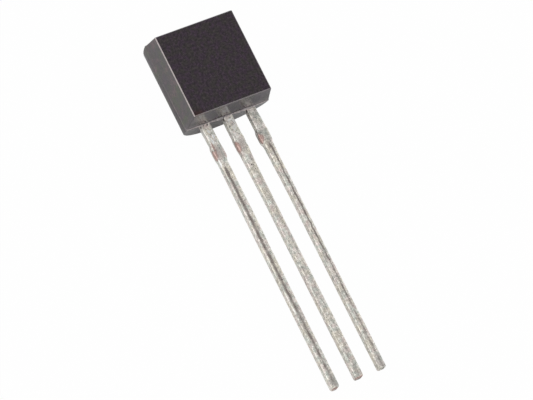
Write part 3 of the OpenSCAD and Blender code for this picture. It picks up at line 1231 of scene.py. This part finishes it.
@dataclass
class StampedLead:
    """A stamped, tinned lead from its post or paddle in the case down to its cut tip."""

    name: str
    node: str
    centre: float                   # its place across the flat
    front: float                    # depth of its front face below the flat
    thickness: float
    top: float                      # upper end of its post or paddle
    tip: float                      # lower end
    head: Triple                    # left side, right side and lower end of its post or paddle
    # Rows of a height with the places of both sides there, below the locks in the case
    sides: tuple[Triple, ...]
    # Rows of a height, then the dark streak's middle across the lead, its half width and strength
    streak: tuple[Quad, ...]
    # Rounding of the cut tip at the left, at the right, in depth and in height
    tip_round: Quad
    marks: tuple[Mark, ...]
    seed: float
    notch_drop: float = 0.0         # distance of the paddle's notches from its top, or none
    neck_w: float = 0.50
    lock_h: float = 0.36
    lock_out: float = 0.16
    lock_low: float = 0.95
    notch_r: float = 0.13
    edge: float = 0.05              # radius of the long edges
    back_share: float = 0.5         # rounding of the tip's back edge, as a share of the front's
    turn: float = 0.004             # height over which the section changes in the case
    ring_gap: float = 0.04          # distance of the rings outside the case
    aged: Rise = Rise(0.05, -0.1)   # heights over which crown and lumps set in
    crown: float = 0.006            # how much lower than the middle the sides of a face lie
    lumps: tuple[Ripple, ...] = (Ripple(0.0018, 0.18, 0.0), Ripple(0.0035, 0.45, 5.0))
    paint_top: float = 0.1          # height up to which the lead is painted
    streak_ripple: Ripple = Ripple(0.55, 0.30, 11.0)     # of the streak's strength
    streak_sway: Ripple = Ripple(0.032, 0.22, 17.0)      # of its middle
    edge_steps: int = 4
    notch_steps: int = 12
    face_cuts: int = 11
    side_cuts: int = 5

    def build(self) -> BMesh:
        """Builds the whole lead.

        Returns:
            The lead in device millimetres.
        """
        bm = bmesh.new()
        first = self._outline(self.top)
        loop = self._first_loop(bm, first)
        loft = Loft(bm, loop, first, Stack.ALONG_Z)
        for level in self._levels():
            loft.ring(self._outline(level), level)
        self._round_tip(loft)
        loft.close()
        self._age(bm)
        self._paint(bm)
        return bm

    def dress(self, bm: BMesh, resting: Resting, tin: Material) -> bpy.types.Object:
        """Returns the finished lead."""
        return finished_piece(bm, self.name, resting, tin, [self.node])

    def _first_loop(self, bm: BMesh, outline: Outline) -> list[BMEdge]:
        """Makes the face at the lead's upper end and divides its edges finely.

        Args:
            bm: The lead's mesh, still empty.
            outline: The section at the upper end.

        Returns:
            The loop of the face's edges.
        """
        corners = [(outline.left, outline.low), (outline.right, outline.low),
                   (outline.right, outline.high), (outline.left, outline.high)]
        verts = [bm.verts.new((x, y, self.top)) for x, y in corners]
        bm.faces.new(verts)
        bmesh.ops.bevel(bm, geom=bm.verts[:], offset=outline.radius, offset_type="OFFSET",
                        segments=self.edge_steps, profile=0.5, affect="VERTICES", material=-1)
        long = [e for e in bm.edges if e.calc_length() > 2 * outline.radius]
        faces = [e for e in long if abs(e.verts[0].co.y - e.verts[1].co.y) < MERGE]
        bmesh.ops.subdivide_edges(bm, edges=faces, cuts=self.face_cuts)
        sides = [e for e in long if e not in faces]
        bmesh.ops.subdivide_edges(bm, edges=sides, cuts=self.side_cuts)
        bm.verts.index_update()
        return bm.edges[:]

    def _levels(self) -> list[float]:
        """Lists the heights of the rings between the upper end and the tip.

        Returns:
            The heights, falling.
        """
        neck = [self.lock_low + self.lock_h + self.turn, self.lock_low + self.lock_h,
                self.lock_low, self.lock_low - self.turn]
        head = [self.head[2], self.head[2] - self.turn]
        if self.notch_drop:
            middle = self.top - self.notch_drop
            head += [middle + self.notch_r * math.cos(math.pi * i / self.notch_steps)
                     for i in range(self.notch_steps + 1)]
        last = self.tip + self.tip_round[3]
        count = math.ceil((self.sides[0][0] - last) / self.ring_gap)
        outside = [self.sides[0][0] + (last - self.sides[0][0]) * i / count
                   for i in range(count + 1)]
        return sorted({round(z, LEVEL_DIGITS) for z in neck + head + outside}, reverse=True)

    def _outline(self, level: float) -> Outline:
        """Gives the lead's section.

        Args:
            level: The height.

        Returns:
            The section there.
        """
        left, right = -self.neck_w / 2, self.neck_w / 2
        in_lock = self.lock_low - MERGE < level < self.lock_low + self.lock_h + MERGE
        if level > self.head[2] - MERGE:
            left, right = self.head[0] - self.centre, self.head[1] - self.centre
            if self.notch_drop:
                bite = self._notch(level)
                left, right = left + bite, right - bite
        elif in_lock:
            left, right = left - self.lock_out, right + self.lock_out
        elif level < self.sides[0][0] + MERGE:
            left, right = between(self.sides, level)
        return Outline(self.centre + left, self.centre + right,
                       self.front, self.front + self.thickness, self.edge)

    def _notch(self, level: float) -> float:
        """Returns how deep the paddle's notches are at a height."""
        away = level - (self.top - self.notch_drop)
        return math.sqrt(max(0.0, self.notch_r ** 2 - away ** 2))

    def _round_tip(self, loft: Loft) -> None:
        """Rounds the corners of the cut tip.

        Args:
            loft: The lead's skin down to the tip.
        """
        left, right, deep, high = self.tip_round
        for number in range(1, self.edge_steps + 1):
            angle = math.pi / 2 * number / self.edge_steps
            shrink = 1.0 - math.cos(angle)
            level = self.tip + high * (1.0 - math.sin(angle))
            section = self._outline(level)
            loft.ring(Outline(section.left + left * shrink, section.right - right * shrink,
                              section.low + deep * shrink,
                              section.high - self.back_share * deep * shrink,
                              section.radius), level)

    def _age(self, bm: BMesh) -> None:
        """Crowns the faces a little and gives the plating its lumps.

        Args:
            bm: The lead.
        """
        bmesh.ops.recalc_face_normals(bm, faces=bm.faces)
        bm.normal_update()
        for vert in bm.verts:
            if vert.co.z > self.aged.start:
                continue
            left, right = between(self.sides, vert.co.z)
            across = (vert.co.x - self.centre - (left + right) / 2) / ((right - left) / 2)
            crown = 0.0
            if abs(vert.normal.y) > FACING:
                crown = -self.crown * min(1.0, across * across)
            lumps = sum(ripple.at(vert.co, self.seed) for ripple in self.lumps)
            vert.co += vert.normal * self.aged.at(vert.co.z) * (crown + lumps)

    def _paint(self, bm: BMesh) -> None:
        """Paints the dark streak along the lead and its marks.

        Args:
            bm: The lead.
        """
        kinds = {Mask.DARK_STREAK, *(mark.mask for mark in self.marks)}
        for kind in sorted(kinds, key=lambda k: k.value):
            bm.verts.layers.float.new(kind.value)
        layers = {kind: bm.verts.layers.float[kind.value] for kind in kinds}
        for vert in bm.verts:
            deep = vert.co.y - self.front
            if vert.co.z > self.paint_top or deep > self.thickness - self.edge:
                continue
            across = vert.co.x - self.centre
            across += deep if across > 0.0 else -deep
            at, spread, strength = between(self.streak, vert.co.z)
            uneven = 1.0 + self.streak_ripple.at(vert.co, self.seed)
            at += self.streak_sway.at(vert.co, self.seed)
            streak = strength * uneven * math.exp(-((across - at) / spread) ** 2)
            vert[layers[Mask.DARK_STREAK]] = streak
            for mark in self.marks:
                share = mark.share(across, vert.co.z)
                vert[layers[mark.mask]] = max(vert[layers[mark.mask]], share)


@dataclass
class ChipAndBonds:
    """The chip, its bond layer and the bond wires, which keep their solids."""

    def dress(self, resting: Resting) -> None:
        """Gives each solid its finish.

        Args:
            resting: The device's resting place.
        """
        gold = GoldFinish().material(resting)
        finishes = {
            "die": (SiliconFinish().material(resting), Slot.SILICON),
            "die_attach": (BondLayerFinish().material(resting), Slot.BOND_LAYER),
            "bond_wire_left": (gold, Slot.GOLD),
            "bond_wire_right": (gold, Slot.GOLD),
        }
        for node, (material, slot) in finishes.items():
            solid = frame["nodes"][node]
            solid.data.materials.clear()
            solid.data.materials.append(material)
            log.info("%s: keeps its solid", node)


@dataclass(frozen=True)
class Softbox:
    """A flat rectangular lamp that faces the part."""

    name: str
    azimuth: float                  # degrees, 0 in front of the leads' tips, rising to the right
    elevation: float                # degrees above the table
    distance: float                 # metres
    size: Span                      # metres across and up
    radiance: float                 # 1 looks white

    def build(self, target: Vector) -> None:
        """Makes the lamp.

        Args:
            target: The point that it faces.
        """
        area = self.size[0] * self.size[1]
        lamp = bpy.data.lights.new(self.name, "AREA")
        lamp.shape = "RECTANGLE"
        lamp.size, lamp.size_y = self.size
        lamp.energy = self.radiance * math.pi * area
        made = placed(self.name, lamp)
        away = direction(self.azimuth, self.elevation)
        made.location = target + away * self.distance
        made.rotation_euler = away.to_track_quat("Z", "Y").to_euler()
        made.visible_camera = False


def direction(azimuth: float, elevation: float) -> Vector:
    """Returns the unit vector towards an azimuth and elevation, both in degrees."""
    a, e = math.radians(azimuth), math.radians(elevation)
    return Vector((math.sin(a) * math.cos(e), -math.cos(a) * math.cos(e), math.sin(e)))


@dataclass
class Studio:
    """The camera, the lamps, the surroundings and the table."""

    azimuth: float = -47.562
    elevation: float = 58.207
    roll: float = 22.031
    distance: float = 0.20968
    lens: float = 300.0             # millimetres
    sensor: float = 36.0            # width, in millimetres
    clip: Span = (0.02, 20.0)       # nearest and furthest distance that the camera sees
    target: Vector = field(default_factory=lambda: Vector((-0.3365, 0.059, 2.0)) * MM)
    table_size: float = 4.0
    room: float = 0.93              # brightness of the surroundings
    gap: float = 0.20               # brightness of the dark gap between the lamps overhead
    gap_way: Span = (106.0, 66.0)   # azimuth and elevation of its middle
    gap_edges: Span = (12.0, 27.0)  # degrees from its middle between which it ends
    softboxes: tuple[Softbox, ...] = (
        Softbox("left_softbox", -101.0, 30.0, 0.45, (0.10, 0.24), 1.3),
        Softbox("front_softbox", 47.6, 58.0, 0.45, (0.22, 0.22), 1.0),
    )

    def build(self) -> None:
        """Makes everything that isn't part of the object."""
        self._camera()
        self._surroundings()
        self._table()
        for softbox in self.softboxes:
            softbox.build(self.target)
        view = bpy.context.scene.view_settings
        view.view_transform = "Standard"

    def _camera(self) -> None:
        """Places the camera."""
        lens = bpy.data.cameras.new("camera")
        lens.lens = self.lens
        lens.sensor_width = self.sensor
        lens.clip_start, lens.clip_end = self.clip
        camera = placed("camera", lens)
        back = direction(self.azimuth, self.elevation)
        roll = Matrix.Rotation(math.radians(self.roll), 3, "Z")
        turn = back.to_track_quat("Z", "Y").to_matrix() @ roll
        spot = Matrix.Translation(self.target + back * self.distance)
        camera.matrix_world = spot @ turn.to_4x4()
        bpy.context.scene.camera = camera

    def _surroundings(self) -> None:
        """Surrounds the part with plain light that has a dark gap overhead."""
        world = bpy.data.worlds.new("white_room")
        g = Graph(world)
        way = g.add("ShaderNodeTexCoord").outputs["Generated"]
        toward = g.vector("DOT_PRODUCT", way, direction(*self.gap_way))
        inner, outer = (math.cos(math.radians(edge)) for edge in self.gap_edges)
        strength = g.reach(toward, (outer, inner), (self.room, self.gap))
        sky = g.add("ShaderNodeBackground", {"Color": WHITE, "Strength": strength})
        g.add("ShaderNodeOutputWorld", {"Surface": sky.outputs["Background"]})
        bpy.context.scene.world = world

    def _table(self) -> None:
        """Lays the white table under the part."""
        bm = bmesh.new()
        bmesh.ops.create_grid(bm, x_segments=1, y_segments=1, size=self.table_size / 2)
        table = meshed(bm, "table", FloorFinish().material())


# Per side: rows of a height with the places of the lead's left and right side, from its centre
SIDES: dict[str, tuple[Triple, ...]] = {
    "left": (
        (0.10, -0.235, 0.262), (-0.45, -0.230, 0.262), (-0.85, -0.212, 0.274),
        (-1.09, -0.208, 0.274), (-1.23, -0.250, 0.286), (-1.35, -0.257, 0.294),
        (-1.75, -0.252, 0.308), (-1.83, -0.240, 0.300), (-1.97, -0.212, 0.232),
        (-2.10, -0.214, 0.210), (-4.85, -0.226, 0.209), (-5.85, -0.233, 0.200),
        (-6.85, -0.232, 0.178), (-8.85, -0.238, 0.165), (-11.85, -0.246, 0.156),
        (-14.2, -0.262, 0.148),
    ),
    "centre": (
        (0.10, -0.262, 0.222), (-0.95, -0.262, 0.224), (-1.13, -0.262, 0.236),
        (-1.23, -0.283, 0.262), (-1.35, -0.286, 0.250), (-1.55, -0.278, 0.230),
        (-1.75, -0.274, 0.248), (-1.84, -0.270, 0.246), (-1.95, -0.246, 0.232),
        (-2.25, -0.242, 0.216), (-2.85, -0.229, 0.205), (-4.35, -0.210, 0.195),
        (-5.85, -0.212, 0.188), (-7.85, -0.214, 0.195), (-11.85, -0.216, 0.210),
        (-14.2, -0.212, 0.217),
    ),
    "right": (
        (0.10, -0.262, 0.206), (-0.30, -0.265, 0.208), (-0.65, -0.263, 0.232),
        (-1.13, -0.260, 0.242), (-1.25, -0.306, 0.268), (-1.35, -0.322, 0.263),
        (-1.55, -0.316, 0.266), (-1.75, -0.308, 0.262), (-1.84, -0.300, 0.250),
        (-1.97, -0.236, 0.218), (-2.25, -0.222, 0.205), (-2.85, -0.212, 0.186),
        (-3.85, -0.188, 0.196), (-5.85, -0.181, 0.190), (-9.85, -0.188, 0.191),
        (-11.85, -0.199, 0.202), (-14.2, -0.200, 0.200),
    ),
}

# Per side: rows of a height, then the dark streak's middle across the lead, half width and
# strength
STREAKS: dict[str, tuple[Quad, ...]] = {
    "left": (
        (-1.95, 0.07, 0.08, 0.0), (-2.08, 0.02, 0.08, 0.4), (-2.20, -0.04, 0.07, 0.85),
        (-2.35, -0.08, 0.07, 0.9), (-3.20, -0.07, 0.10, 1.1), (-3.90, -0.075, 0.09, 0.95),
        (-7.00, -0.085, 0.085, 0.85), (-9.00, -0.08, 0.08, 0.9), (-11.0, -0.07, 0.085, 0.75),
        (-14.0, -0.05, 0.09, 0.65),
    ),
    "centre": (
        (-2.20, 0.05, 0.07, 0.15), (-3.50, 0.06, 0.08, 0.40), (-8.50, 0.06, 0.07, 0.38),
        (-11.0, 0.05, 0.08, 0.42), (-14.0, 0.02, 0.10, 0.45),
    ),
    "right": (
        (-1.78, -0.05, 0.14, 0.0), (-1.93, -0.05, 0.13, 0.60), (-2.08, -0.02, 0.09, 0.80),
        (-2.25, 0.02, 0.055, 1.0),
        (-8.00, 0.035, 0.05, 0.85), (-10.0, 0.04, 0.055, 0.70), (-13.5, 0.03, 0.075, 0.60),
    ),
}

# Per side: rounding of the cut tip at the left, at the right, in depth and in height
TIPS: dict[str, Quad] = {
    "left": (0.10, 0.16, 0.09, 0.12),
    "centre": (0.05, 0.13, 0.09, 0.10),
    "right": (0.07, 0.09, 0.07, 0.07),
}

# Per side and mask: rows of a mark's height, place across the lead, half length, half width and
# strength, which is 1 where it is left out
# PIT_AND_SHADE rows near the top of each lead are painted shade where it meets the case, GLINT
# rows are painted highlights and some GRIME_AND_SHADE rows are painted shade
MARKS: dict[str, dict[Mask, tuple[tuple[float, ...], ...]]] = {
    "left": {
        Mask.BLUSH: (
            (-0.10, 0.00, 0.17, 0.30, 0.7), (-1.50, -0.05, 0.45, 0.14, 0.60),
            (-1.72, 0.28, 0.28, 0.06, 0.9), (-1.15, -0.17, 0.26, 0.06, 0.95),
            (-3.25, -0.18, 0.16, 0.05, 0.8), (-6.78, -0.18, 0.22, 0.05, 0.7),
        ),
        Mask.PIT_AND_SHADE: (
            (-0.08, 0.08, 0.05, 0.05, 0.9), (-0.06, -0.11, 0.05, 0.04, 0.8),
            (-0.08, -0.32, 0.07, 0.07), (-8.44, -0.05, 0.05, 0.05, 0.7),
        ),
        Mask.GLINT: (
            (-0.11, 0.15, 0.04, 0.04, 0.9), (-0.50, -0.42, 0.38, 0.11, 0.52),
            (-0.42, 0.00, 0.14, 0.09, 0.75), (-0.72, 0.10, 0.17, 0.09, 0.85),
            (-0.95, -0.04, 0.16, 0.08, 0.95), (-0.62, -0.10, 0.10, 0.05, 0.65),
            (-2.12, -0.25, 0.20, 0.11, 1.0), (-2.02, -0.07, 0.12, 0.07, 0.60),
            (-4.86, -0.19, 0.13, 0.04, 0.7), (-6.25, -0.18, 0.12, 0.04, 0.7),
            (-10.03, -0.20, 0.14, 0.04, 0.9), (-11.98, -0.19, 0.06, 0.05, 1.0),
        ),
        Mask.GRIME_AND_SHADE: (
            (-0.55, -0.21, 0.60, 0.06, 0.45), (-1.55, 0.02, 0.45, 0.26, 0.95),
            (-3.20, -0.32, 1.40, 0.14, 0.55), (-8.50, -0.19, 6.50, 0.07, 0.32),
            (-13.92, 0.02, 0.42, 0.28, 1.00),
        ),
        Mask.COPPER: (
            (-1.36, -0.15, 0.52, 0.07, 0.60), (-1.62, -0.35, 0.30, 0.19, 0.92),
            (-14.26, -0.05, 0.08, 0.60, 0.55),
        ),
        Mask.DARK_STREAK: (
            (-7.47, -0.10, 0.12, 0.08, 1.0),
        ),
    },
    "centre": {
        Mask.BLUSH: (
            (-0.06, 0.00, 0.12, 0.30, 0.10), (-1.55, 0.00, 0.34, 0.16, 0.55),
            (-3.60, -0.05, 0.25, 0.12, 0.6), (-5.05, -0.15, 0.25, 0.08, 0.7),
        ),
        Mask.PIT_AND_SHADE: (
            (-0.10, -0.36, 0.09, 0.09), (-0.75, -0.11, 0.05, 0.045, 0.7),
            (-0.35, 0.06, 0.04, 0.04, 0.6), (-2.67, -0.05, 0.06, 0.05, 0.72),
            (-2.42, 0.07, 0.05, 0.045, 0.70), (-2.74, 0.04, 0.05, 0.04, 0.65),
            (-2.92, 0.02, 0.05, 0.04, 0.70),
        ),
        Mask.GRIME_AND_SHADE: (
            (-0.72, -0.23, 0.50, 0.07, 0.90), (-1.60, 0.05, 0.40, 0.22, 0.75),
            (-3.20, 0.05, 1.20, 0.20, 0.28), (-8.00, -0.18, 6.00, 0.07, 0.30),
            (-4.60, 0.12, 0.80, 0.10, 0.28), (-6.90, 0.14, 1.20, 0.09, 0.25),
            (-13.9, 0.00, 0.35, 0.30, 0.35),
        ),
        Mask.GLINT: (
            (-0.22, -0.07, 0.09, 0.09, 0.75), (-0.20, 0.11, 0.09, 0.07, 0.65),
            (-9.10, -0.12, 0.20, 0.05, 0.6),
        ),
        Mask.COPPER: (
            (-1.63, -0.35, 0.34, 0.24, 0.95), (-14.18, 0.00, 0.09, 0.60, 0.58),
        ),
        Mask.DARK_STREAK: (
            (-8.40, -0.10, 0.38, 0.05, 0.50), (-13.0, -0.07, 0.24, 0.05, 0.70),
        ),
    },
    "right": {
        Mask.BLUSH: (
            (-0.06, 0.00, 0.10, 0.30, 0.2), (-1.62, -0.14, 0.20, 0.07, 0.7),
            (-3.40, -0.12, 0.14, 0.07, 0.8), (-5.70, -0.11, 0.16, 0.07, 0.7),
            (-6.35, -0.14, 0.10, 0.06, 0.7), (-7.10, -0.10, 0.20, 0.06, 0.6),
        ),
        Mask.PIT_AND_SHADE: (
            (-0.09, -0.36, 0.08, 0.08), (-0.06, -0.02, 0.035, 0.24, 0.60),
            (-0.52, -0.05, 0.10, 0.05, 0.42), (-4.78, -0.02, 0.05, 0.045, 0.60),
            (-4.93, -0.08, 0.05, 0.040, 0.60), (-12.22, 0.01, 0.05, 0.045, 0.55),
            (-12.40, -0.07, 0.06, 0.040, 0.55),
        ),
        Mask.DARK_STREAK: (
            (-0.65, -0.40, 0.55, 0.08, 0.25), (-1.38, -0.32, 0.13, 0.16, 0.85),
            (-1.60, -0.60, 0.33, 0.10, 0.55), (-12.28, -0.03, 0.12, 0.07, 0.75),
            (-2.12, -0.09, 0.22, 0.09, 0.58), (-6.78, -0.11, 0.12, 0.05, 0.60),
        ),
        Mask.GRIME_AND_SHADE: (
            (-0.62, 0.00, 0.55, 0.40, 0.62), (-1.55, 0.05, 0.38, 0.32, 0.85),
            (-8.50, -0.22, 6.50, 0.12, 0.30), (-13.95, 0.00, 0.45, 0.50, 0.55),
        ),
        Mask.COPPER: (
            (-1.64, -0.36, 0.27, 0.18), (-1.60, -0.20, 0.20, 0.10, 0.62),
        ),
    },
}


@dataclass(frozen=True)
class LeadFrame:
    """The three leads as they were stamped from one strip."""

    pitch: float = 1.27             # distance between the leads
    offset: float = 0.0075          # how far the strip lies to the left of the case's middle
    post_x: float = 1.32            # distance of the outer leads' posts from the middle
    post_w: float = 0.66
    post_low: float = 2.35          # height of the posts' lower end
    paddle_low: float = 2.05        # height of the paddle's lower end
    notch_drop: float = 0.32        # distance of the paddle's notches from its top
    seed: float = 20.0              # noise of the centre lead
    seed_step: float = 7.0          # from there to the noise of the leads beside it

    def leads(self, resting: Resting) -> list[StampedLead]:
        """Makes the leads.

        Args:
            resting: The device's resting place.

        Returns:
            The left, the centre and the right lead with the sizes of the CAD nodes.
        """
        return [self._lead(side, name, resting)
                for side, name in ((-1, "left"), (0, "centre"), (1, "right"))]

    def _lead(self, side: int, name: str, resting: Resting) -> StampedLead:
        """Makes one lead.

        Args:
            side: -1 for the left one, 0 for the centre one, 1 for the right one.
            name: That side's name.
            resting: The device's resting place.

        Returns:
            The lead.
        """
        node = f"lead_{name}"
        low, high = resting.device_box(node)
        post = (side * self.post_x - self.post_w / 2, side * self.post_x + self.post_w / 2,
                self.post_low)
        marks = tuple(Mark(mask, *row) for mask, rows in MARKS[name].items() for row in rows)
        return StampedLead(
            name=f"{name}_lead", node=node, centre=side * self.pitch - self.offset,
            front=low.y, thickness=high.y - low.y, top=high.z, tip=low.z,
            head=post if side else (low.x, high.x, self.paddle_low),
            sides=SIDES[name], streak=STREAKS[name], tip_round=TIPS[name], marks=marks,
            seed=self.seed + self.seed_step * side, notch_drop=0.0 if side else self.notch_drop)


def main() -> None:
    """Builds the studio and dresses the part."""
    logging.basicConfig(level=logging.INFO, format="%(name)s: %(message)s")
    Studio().build()
    resting = Resting.from_record(frame["record"], CASE_H)
    case = MouldedCase.from_frame(resting)
    case.dress(case.build(), resting)
    tin = TinFinish().material(resting)
    for lead in LeadFrame().leads(resting):
        lead.dress(lead.build(), resting, tin)
    ChipAndBonds().dress(resting)


if __name__ == "__main__":
    main()
